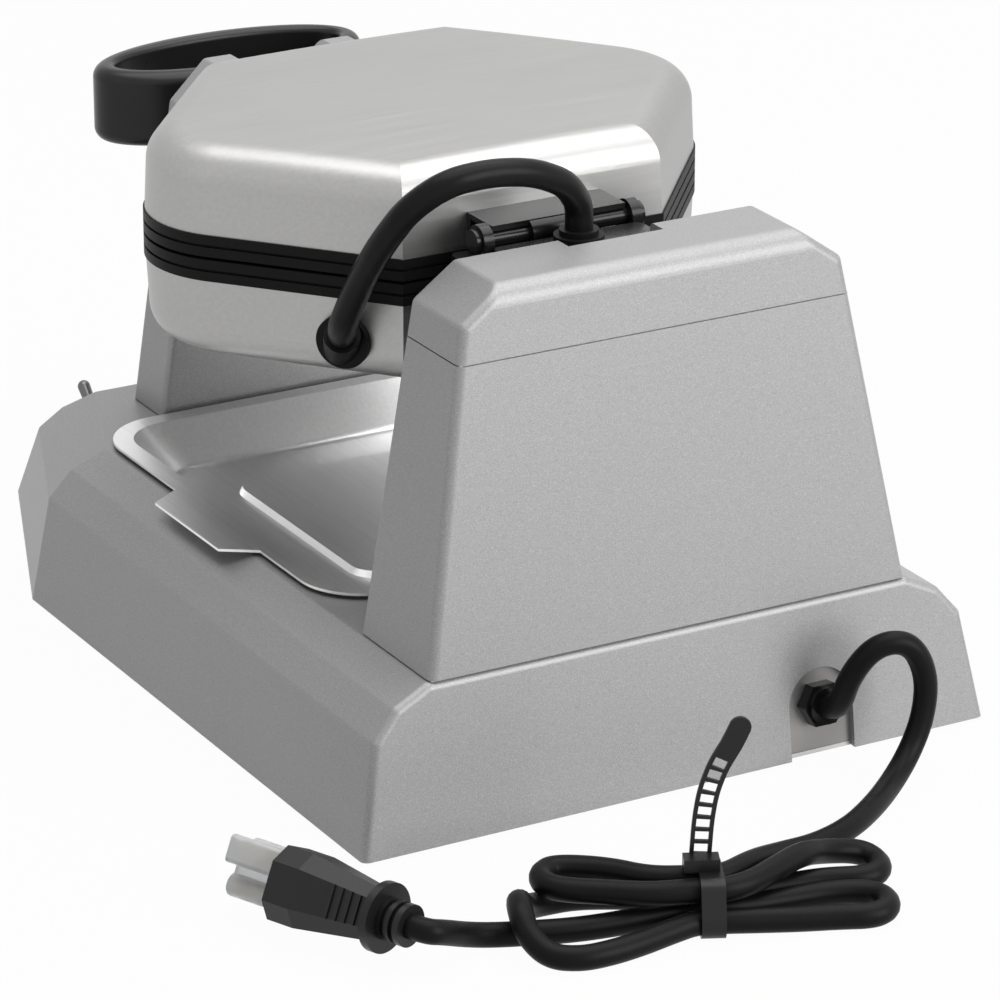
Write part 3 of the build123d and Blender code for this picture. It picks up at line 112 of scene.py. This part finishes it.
def cordRoute():
    top, low, floor = cordSet["top"], cordSet["low"], cordSet["floor"]
    lead = [
        (-58.3, 190.58, 21.63), (-58.3, 197.42, 22.56), (-58.8, 203.0, 38.0), (-66.0, 208.5, 50.5),
        (-78.0, 212.0, 50.5), (-84.5, 213.5, 37.0), (-82.5, 215.0, 22.0), (-75.5, 217.0, 10.0),
        (-63.5, 224.5, floor), (-47.0, 238.0, floor), (-30.0, 249.0, floor),
    ]
    bundle = [
        (-42, -44, 4.6), (-28, -29, 8.9), (-16, -13, 14.0), (-5, -0.4, top), (5, -0.4, top),
        (20, -1, 14.6), (33, -9, 14.6), *bight((46.5, -3), 9.0, (14.8, 14.8, 14.8, 14.8), 1, 1),
        (33, 9, 14.7), (20, 11.5, top), (5, 9.4, top), (-5, 9.4, top), (-14, 4.5, 14.7),
        (-24, -7, 14.6), (-33, -18, 13.9), (-42, -30, 9.0),
        *bight((-51.7, -26.9), 9.2, (5.8, floor, floor, floor), -1, 1),
        (-42, -17.5, floor), (-30, -14.4, floor), (-14, -8.2, 4.8), (-5, -5.4, low), (5, -5.4, low),
        (18, -6.5, 4.8), (30, -9, floor), (44, -9.5, floor), (54, -6, floor), (60, -0.5, 5.8),
        (63, 6, 10.0), (64.2, 12, 14.2), (64.2, 21.5, 14.2), (62.5, 28, 9.5), (56, 34.5, 4.6),
        (46, 36.5, floor), (36, 33, floor), (25, 26.5, floor), (14, 19.3, 4.9), (5, 14.2, low),
        (-5, 14.2, low), (-18, 13, 4.8), (-30, 12, floor), (-42, 11.2, floor),
        *bight((-50.5, 1.8), 9.4, (floor, floor, floor, floor), -1, -1),
        (-42, -7.4, floor), (-28, -3.3, floor), (-14, 2, 4.8), (-5, 4.6, low), (5, 4.6, low),
        (18, 7.5, 4.8), (32, 11.5, floor), (46, 15, floor),
        (60, 16.3, floor), (73, 17, floor), (82, 20.5, 6.5), (90, 29, 11.8),
    ]
    plugEnd = [(144.7, 266.34, 14.4), (147.4, 260.0, 14.4)]
    return [Vector(p) / mmPerMetre for p in lead + [hankSpot(*p) for p in bundle] + plugEnd]


def makeCord():
    route = cordRoute()
    radius = cordSet["radius"] / mmPerMetre
    curve = bpy.data.curves.new("mains_cord", "CURVE")
    curve.dimensions = "3D"
    curve.bevel_depth = 1.0  # each point's own radius gives the thickness
    curve.bevel_resolution = cordSet["sides"]
    curve.resolution_u = cordSet["steps"]
    curve.use_fill_caps = True
    line = curve.splines.new("NURBS")
    line.points.add(len(route) - 1)
    for point, place in zip(line.points, route):
        point.co = (*place, 1)
        point.radius = radius
    line.order_u = cordSet["order"]
    line.use_endpoint_u = True
    cord = addObject("mains_cord", curve)
    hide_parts("cord_lead", "cord_hank", "cord_tail")
    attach(cord, "base")
    return cord


cord = makeCord()
print("cord laid")


# One value in a node tree, so that sums are written as they are read
class Signal:
    def __init__(self, net, socket):
        self.net = net
        self.socket = socket

    def __add__(self, other):
        return self.net.maths("ADD", self, other)

    def __radd__(self, other):
        return self.net.maths("ADD", other, self)

    def __sub__(self, other):
        return self.net.maths("SUBTRACT", self, other)

    def __rsub__(self, other):
        return self.net.maths("SUBTRACT", other, self)

    def __mul__(self, other):
        return self.net.maths("MULTIPLY", self, other)

    def __rmul__(self, other):
        return self.net.maths("MULTIPLY", other, self)


# A node tree with one method that adds any node
class Net:
    def __init__(self, tree):
        self.tree = tree

    def node(self, kind, settings=None, inputs=None, output=0):
        made = self.tree.nodes.new(kind)
        for name, value in (settings or {}).items():
            if name == "stops":
                for stop, (place, shade) in zip(made.color_ramp.elements, value):
                    stop.position = place
                    stop.color = grey(shade)
            else:
                setattr(made, name, value)
        for key, value in (inputs or {}).items():
            if isinstance(value, Signal):
                self.tree.links.new(value.socket, made.inputs[key])
            else:
                made.inputs[key].default_value = value
        return Signal(self, made.outputs[output])

    def maths(self, operation, first, second):
        return self.node("ShaderNodeMath", {"operation": operation}, {0: first, 1: second})


# A material with its Principled shader and the patterns that feed it
class Finish(Net):
    def __init__(self, name, fixed):
        self.material = bpy.data.materials.new(name)
        self.material.use_nodes = True
        super().__init__(self.material.node_tree)
        self.shader = self.tree.nodes["Principled BSDF"]
        for socket, value in fixed.items():
            self.shader.inputs[socket].default_value = value

    def place(self, stretch=(1, 1, 1)):
        spot = self.node("ShaderNodeTexCoord", output="Object")
        return self.node("ShaderNodeMapping", inputs={"Vector": spot, "Scale": stretch})

    def noise(self, scale, detail, stretch=(1, 1, 1), rough=0.5):
        values = {"Vector": self.place(stretch), "Scale": scale, "Detail": detail, "Roughness": rough}
        return self.node("ShaderNodeTexNoise", {}, values)

    def speck(self, scale):
        return self.node("ShaderNodeTexVoronoi", {}, {"Vector": self.place(), "Scale": scale}, "Distance")

    def blend(self, mask, first, second):
        colours = {"Factor": mask, 6: first, 7: second}  # 6, 7 and output 2 are the colour sockets
        return self.node("ShaderNodeMix", {"data_type": "RGBA"}, colours, 2)

    def ramp(self, value, low, high):
        return self.node("ShaderNodeValToRGB", {"stops": [(low, 0.0), (high, 1.0)]}, {0: value})

    def feed(self, socket, value):
        self.tree.links.new(value.socket, self.shader.inputs[socket])

    def bump(self, height, strength, distance):
        values = {"Height": height, "Strength": strength, "Distance": distance}
        self.feed("Normal", self.node("ShaderNodeBump", {}, values))


def grey(level, warm=0.0):
    return (level * (1 + warm), level, level * (1 - warm), 1)


# Silver sand paint of the base and the towers
paintSet = {
    "metal": 0.35, "dark": 0.30, "light": 0.39, "fleck": 0.85,
    "grainScale": 2200, "grainDetail": 4.0, "grainStops": (0.32, 0.68),
    "fleckScale": 1500, "fleckStops": (0.05, 0.22), "fleckShare": 0.5, "fleckHeight": 0.4,
    "driftScale": 9, "driftDetail": 2.0,
    "rough": 0.35, "roughGrain": 0.12, "roughDrift": 0.06,
    "bump": 0.25, "depth": 0.00015,
}


def sandPaint():
    look = paintSet
    finish = Finish("sand_paint", {"Metallic": look["metal"]})
    grain = finish.noise(look["grainScale"], look["grainDetail"])
    drift = finish.noise(look["driftScale"], look["driftDetail"])
    body = finish.blend(finish.ramp(grain, *look["grainStops"]), grey(look["dark"]), grey(look["light"]))
    flecks = finish.speck(look["fleckScale"])
    spark = look["fleckShare"] * (1 - finish.ramp(flecks, *look["fleckStops"]))
    finish.feed("Base Color", finish.blend(spark, body, grey(look["fleck"])))
    finish.feed("Roughness", look["rough"] + grain * look["roughGrain"] + drift * look["roughDrift"])
    finish.bump(grain + flecks * look["fleckHeight"], look["bump"], look["depth"])
    return finish.material


# Brushed or rolled metal sheet
sheetSet = {
    "lineDetail": 5.0, "lineRough": 0.65, "dim": 0.82, "bright": 1.12,
    "smudgeScale": 14, "smudgeDetail": 3.0, "smudgeShare": 0.25, "smudgeBright": 1.2,
    "roughLines": 0.12, "roughSmudge": 0.05, "bump": 0.12, "depth": 0.00008,
}


def brushedSheet(name, level, rough, stretch, warm=0.0):
    look = sheetSet
    finish = Finish(name, {"Metallic": 1.0})
    lines = finish.noise(1.0, look["lineDetail"], stretch, look["lineRough"])
    smudge = finish.noise(look["smudgeScale"], look["smudgeDetail"])
    shade = finish.blend(lines, grey(level * look["dim"], warm), grey(level * look["bright"], warm))
    bright = grey(level * look["smudgeBright"])
    finish.feed("Base Color", finish.blend(smudge * look["smudgeShare"], shade, bright))
    finish.feed("Roughness", rough + lines * look["roughLines"] + smudge * look["roughSmudge"])
    finish.bump(lines, look["bump"], look["depth"])
    return finish.material


# Black pieces, moulded in rubber or in plastic
blackSets = {
    "rubber": {
        "shine": 0.1, "cloudScale": 30, "cloudDetail": 3.0, "pale": 1.9,
        "roughGrain": 0.12, "roughCloud": 0.1, "bump": 0.15, "depth": 0.0001,
    },
    "plastic": {
        "shine": 0.28, "cloudScale": 22, "cloudDetail": 2.0, "pale": 1.6,
        "roughGrain": 0.08, "roughCloud": 0.06, "bump": 0.08, "depth": 0.00008,
    },
}


def blackFinish(name, kind, level, rough, grainScale=900, grainDetail=3.0):
    look = blackSets[kind]
    finish = Finish(name, {"Specular IOR Level": look["shine"]})
    grain = finish.noise(grainScale, grainDetail)
    cloud = finish.noise(look["cloudScale"], look["cloudDetail"])
    finish.feed("Base Color", finish.blend(cloud, grey(level), grey(level * look["pale"])))
    finish.feed("Roughness", rough + grain * look["roughGrain"] + cloud * look["roughCloud"])
    finish.bump(grain, look["bump"], look["depth"])
    return finish.material


# Coated cast iron of the cooking plates
ironSet = {
    "metal": 0.2, "dark": 0.022, "stained": 0.05, "stainWarm": 0.12,
    "grainScale": 700, "stainScale": 25, "detail": 4.0,
    "rough": 0.34, "roughGrain": 0.14, "roughStain": 0.08, "bump": 0.2, "depth": 0.00012,
}


def coatedIron():
    look = ironSet
    finish = Finish("coated_iron", {"Metallic": look["metal"]})
    grain = finish.noise(look["grainScale"], look["detail"])
    stain = finish.noise(look["stainScale"], look["detail"])
    stained = grey(look["stained"], look["stainWarm"])
    finish.feed("Base Color", finish.blend(stain, grey(look["dark"]), stained))
    finish.feed("Roughness", look["rough"] + grain * look["roughGrain"] + stain * look["roughStain"])
    finish.bump(grain, look["bump"], look["depth"])
    return finish.material


# Turned steel of the pins and shafts
steelSet = {
    "dark": 0.42, "light": 0.66, "stretch": (900, 900, 60), "detail": 4.0, "ringRough": 0.6,
    "rough": 0.24, "roughRings": 0.14, "bump": 0.1, "depth": 0.00005,
}


def turnedSteel():
    look = steelSet
    finish = Finish("turned_steel", {"Metallic": 1.0})
    rings = finish.noise(1.0, look["detail"], look["stretch"], look["ringRough"])
    finish.feed("Base Color", finish.blend(rings, grey(look["dark"]), grey(look["light"])))
    finish.feed("Roughness", look["rough"] + rings * look["roughRings"])
    finish.bump(rings, look["bump"], look["depth"])
    return finish.material


# Clear plastic of the lamps and the blade sleeve
clearSet = {
    "through": 0.55, "bend": 1.49, "cloudScale": 120, "cloudDetail": 2.0,
    "paleTimes": 1.4, "palePlus": 0.05, "roughCloud": 0.08,
}


def clearPlastic(name, colour, rough):
    look = clearSet
    finish = Finish(name, {"Transmission Weight": look["through"], "IOR": look["bend"]})
    cloud = finish.noise(look["cloudScale"], look["cloudDetail"])
    pale = [min(1, shade * look["paleTimes"] + look["palePlus"]) for shade in colour]
    finish.feed("Base Color", finish.blend(cloud, (*colour, 1), (*pale, 1)))
    finish.feed("Roughness", rough + cloud * look["roughCloud"])
    return finish.material


# Brass of the plug's blades
brassSet = {
    "dark": (0.62, 0.50, 0.26, 1), "light": (0.80, 0.68, 0.40, 1), "stretch": (60, 60, 900),
    "detail": 3.0, "scuffRough": 0.6, "rough": 0.22, "roughScuff": 0.16,
}


def bladeBrass():
    look = brassSet
    finish = Finish("blade_brass", {"Metallic": 1.0})
    scuff = finish.noise(1.0, look["detail"], look["stretch"], look["scuffRough"])
    finish.feed("Base Color", finish.blend(scuff, look["dark"], look["light"]))
    finish.feed("Roughness", look["rough"] + scuff * look["roughScuff"])
    return finish.material


# One finish for each material slot, then those of single pieces
finishes = {
    "sand_paint": sandPaint(),
    "brushed_sheet": brushedSheet("brushed_shell", level=0.38, rough=0.33, stretch=(12, 700, 700), warm=0.01),
    "black_rubber": blackFinish("black_rubber", "rubber", level=0.007, rough=0.39, grainScale=800),
    "black_plastic": blackFinish("black_plastic", "plastic", level=0.007, rough=0.29),
    "coated_iron": coatedIron(),
    "turned_steel": turnedSteel(),
    "amber_lens": clearPlastic("amber_lens", colour=(0.85, 0.28, 0.02), rough=0.12),
    "green_lens": clearPlastic("green_lens", colour=(0.06, 0.55, 0.14), rough=0.12),
    "blade_brass": bladeBrass(),
    "grey_sleeve": clearPlastic("grey_sleeve", colour=(0.80, 0.81, 0.83), rough=0.3),
}
ownFinish = {
    "tray": brushedSheet("tray_steel", level=0.80, rough=0.26, stretch=(700, 14, 700)),
    "base_pan": brushedSheet("pan_zinc", level=0.50, rough=0.37, stretch=(40, 40, 40), warm=0.02),
    "inlet_plate": brushedSheet("inlet_zinc", level=0.24, rough=0.37, stretch=(60, 300, 60), warm=0.02),
    "strain_relief": blackFinish("gloss_nut", "plastic", level=0.009, rough=0.11),
    "conduit": blackFinish("sleeve_rubber", "rubber", level=0.007, rough=0.23, grainScale=500),
    "handle_ring": blackFinish("handle_black", "plastic", level=0.010, rough=0.23),
    "lid_hinge": blackFinish("hinge_black", "plastic", level=0.012, rough=0.18),
    "hinge_pin": blackFinish("pin_black", "plastic", level=0.012, rough=0.15),
    "pivot_box": blackFinish("pivot_black", "plastic", level=0.012, rough=0.21),
    "toggle_lever": brushedSheet("lever_steel", level=0.14, rough=0.22, stretch=(400, 400, 400)),
}


def dress(piece, material):
    if not piece.material_slots:
        piece.data.materials.append(material)
    for place in piece.material_slots:
        place.material = material


for part in frame["record"]["subparts"]:
    name = part["node"]
    dress(nodes[name], ownFinish.get(name, finishes[part["material_slot"]]))
dress(cord, blackFinish("cord_rubber", "rubber", level=0.004, rough=0.31))
print("finishes made:", len(bpy.data.materials))

# Printed ticks round the dial, laid out by Geometry Nodes
tickSet = {
    "inputs": {
        "Count": 11, "Radius": 0.0255, "Length": 0.004, "Width": 0.0009, "Height": 0.00025,
        "Sweep": radians(270),
    },
    "start": radians(-135),
    "centre": (0.0, -0.162058, 0.03),
    "normal": (0.0, -0.727048, 0.686586),
    "lift": 0.0001,
}


def tickTree(material):
    tree = bpy.data.node_groups.new("dial_ticks", "GeometryNodeTree")
    tree.interface.new_socket("Geometry", in_out="OUTPUT", socket_type="NodeSocketGeometry")
    sockets = {}
    for name, value in tickSet["inputs"].items():
        kind = "NodeSocketInt" if isinstance(value, int) else "NodeSocketFloat"
        sockets[name] = tree.interface.new_socket(name, in_out="INPUT", socket_type=kind).identifier
    net = Net(tree)
    given = {name: net.node("NodeGroupInput", output=name) for name in sockets}
    row = net.node("GeometryNodePoints", inputs={"Count": given["Count"]})
    share = net.maths("DIVIDE", net.node("GeometryNodeInputIndex"), given["Count"] - 1)
    spin = net.node("ShaderNodeCombineXYZ", inputs={"Z": share * given["Sweep"] + tickSet["start"]})
    away = net.node("ShaderNodeCombineXYZ", inputs={"Y": given["Radius"]})
    turned = {"Vector": away, "Rotation": spin}
    swing = net.node("ShaderNodeVectorRotate", {"rotation_type": "EULER_XYZ"}, turned)
    placed = net.node("GeometryNodeSetPosition", inputs={"Geometry": row, "Position": swing})
    sides = {"X": given["Width"], "Y": given["Length"], "Z": given["Height"]}
    mark = net.node("GeometryNodeMeshCube", inputs={"Size": net.node("ShaderNodeCombineXYZ", inputs=sides)})
    copied = {"Points": placed, "Instance": mark, "Rotation": spin}
    copies = net.node("GeometryNodeInstanceOnPoints", inputs=copied)
    real = net.node("GeometryNodeRealizeInstances", inputs={0: copies})
    paint = net.node("GeometryNodeSetMaterial", inputs={"Geometry": real, "Material": material})
    tree.links.new(paint.socket, tree.nodes.new("NodeGroupOutput").inputs[0])
    return tree, sockets


def makeTicks():
    tree, sockets = tickTree(finishes["black_plastic"])
    holder = addObject("tick_holder", bpy.data.meshes.new("tick_holder"))
    modifier = holder.modifiers.new("ticks", "NODES")
    modifier.node_group = tree
    for name, value in tickSet["inputs"].items():
        modifier[sockets[name]] = value
    shown = holder.evaluated_get(bpy.context.evaluated_depsgraph_get())
    mesh = bpy.data.meshes.new_from_object(shown)
    bpy.data.objects.remove(holder)
    normal = Vector(tickSet["normal"])
    turn = normal.to_track_quat("Z", "Y").to_matrix().to_4x4()
    turn.translation = Vector(tickSet["centre"]) + normal * tickSet["lift"]
    mesh.transform(turn)
    mesh.name = "dial_ticks"
    ticks = addObject("dial_ticks", mesh)
    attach(ticks, "base")


makeTicks()
print("dial ticks made")

# Floor, world and lamps
studioSet = {
    "floorHalf": 12,
    "floorGrey": 0.5,
    "floorRough": 0.8,
    "floorShare": 0.97,
    "world": 0.11,
    "aim": (0, 0.05, 0.1),
    "lamps": {
        "key": {"place": (-1.1, 2.2, 1.0), "size": 1.7, "power": 46.0},
        "top": {"place": (-0.3, 0.0, 1.8), "size": 2.0, "power": 33.0},
        "side": {"place": (1.9, 0.3, 0.9), "size": 1.2, "power": 0.6},
    },
}


def seenDirectly(net):
    kinds = ("Camera", "Glossy", "Transmission")
    camera, glossy, through = (net.node("ShaderNodeLightPath", output=f"Is {kind} Ray") for kind in kinds)
    return net.maths("MAXIMUM", net.maths("MAXIMUM", camera, glossy), through)


def mixShaders(net, share, first, second, target):
    mixed = net.node("ShaderNodeMixShader", {}, {0: share, 1: Signal(net, first.outputs[0]), 2: second})
    net.tree.links.new(mixed.socket, net.tree.nodes[target].inputs["Surface"])


def makeFloor():
    half = studioSet["floorHalf"]
    mesh = bpy.data.meshes.new("floor")
    corners = [(-half, -half, 0), (half, -half, 0), (half, half, 0), (-half, half, 0)]
    mesh.from_pydata(corners, [], [(0, 1, 2, 3)])
    floor = addObject("floor", mesh)
    fixed = {"Base Color": grey(studioSet["floorGrey"]), "Roughness": studioSet["floorRough"]}
    matt = Finish("floor_white", fixed)
    glow = matt.node("ShaderNodeEmission", {}, {"Strength": 1.0})
    mixShaders(matt, seenDirectly(matt) * studioSet["floorShare"], matt.shader, glow, "Material Output")
    mesh.materials.append(matt.material)


def makeWorld():
    world = bpy.data.worlds.new("studio")
    bpy.context.scene.world = world
    world.use_nodes = True
    net = Net(world.node_tree)
    soft = net.tree.nodes["Background"]
    soft.inputs["Color"].default_value = grey(1)
    soft.inputs["Strength"].default_value = studioSet["world"]
    white = net.node("ShaderNodeBackground", {}, {"Color": grey(1)})
    mixShaders(net, seenDirectly(net), soft, white, "World Output")


def makeLamps():
    for name, lampSet in studioSet["lamps"].items():
        data = bpy.data.lights.new(name, "AREA")
        data.size = lampSet["size"]
        data.energy = lampSet["power"]
        lamp = addObject(name, data)
        lamp.location = lampSet["place"]
        lamp.rotation_euler = aimed(lampSet["place"], studioSet["aim"])


makeFloor()
makeWorld()
makeLamps()
bpy.context.scene.view_settings.view_transform = "Standard"
print("studio set")
